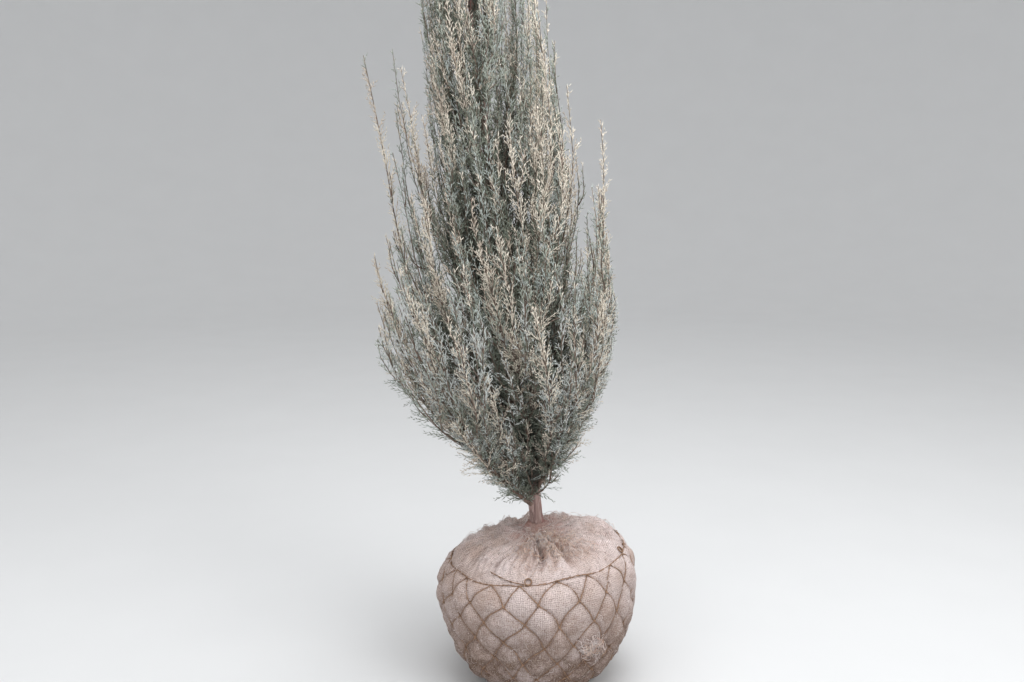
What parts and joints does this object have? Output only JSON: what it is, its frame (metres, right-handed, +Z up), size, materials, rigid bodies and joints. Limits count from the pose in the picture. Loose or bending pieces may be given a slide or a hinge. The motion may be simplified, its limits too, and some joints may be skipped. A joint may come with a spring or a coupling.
{
  "type": "juniper sapling with root ball",
  "caption": "Columnar juniper sapling, its crown of upright plumes rising from a slim leaning trunk, with a burlapped root ball tied in a wire net.",
  "frame": {"origin": "centre of the root ball's flat underside", "axes": "+Z up, +X to the right seen from the front, -Y towards the front"},
  "size_m": [0.6681, 0.6109, 2.4256],
  "materials": {
    "burlap": "coarse natural jute weave, dusty, pinkish beige, stained browner low down",
    "net": "thin twisted wire, dark rusty brown, matt",
    "bark": "fibrous reddish-brown bark with long shreds, matt",
    "foliage": "grey-green scale leaves with straw-coloured ends, matt"
  },
  "bodies": {
    "root": {"root_ball": "burlap", "net": "net", "trunk": "bark", "bough_01": "bark", "bough_02": "bark", "bough_03": "bark", "bough_04": "bark", "bough_05": "bark", "bough_06": "bark", "bough_07": "bark", "bough_08": "bark", "bough_09": "bark", "bough_10": "bark", "bough_11": "bark", "bough_12": "bark", "bough_13": "bark", "bough_14": "bark", "bough_15": "bark", "bough_16": "bark", "bough_17": "bark", "bough_18": "bark", "bough_19": "bark", "bough_20": "bark", "bough_21": "bark", "bough_22": "bark", "bough_23": "bark", "bough_24": "bark", "bough_25": "bark", "bough_26": "bark", "foliage_01": "foliage", "foliage_02": "foliage", "foliage_03": "foliage", "foliage_04": "foliage", "foliage_05": "foliage", "foliage_06": "foliage", "foliage_07": "foliage", "foliage_08": "foliage", "foliage_09": "foliage", "foliage_10": "foliage", "foliage_11": "foliage", "foliage_12": "foliage", "foliage_13": "foliage", "foliage_14": "foliage", "foliage_15": "foliage", "foliage_16": "foliage", "foliage_17": "foliage", "foliage_18": "foliage", "foliage_19": "foliage", "foliage_20": "foliage", "foliage_21": "foliage", "foliage_22": "foliage", "foliage_23": "foliage", "foliage_24": "foliage", "foliage_25": "foliage", "foliage_26": "foliage", "foliage_leader": "foliage"}
  },
  "joints": []
}
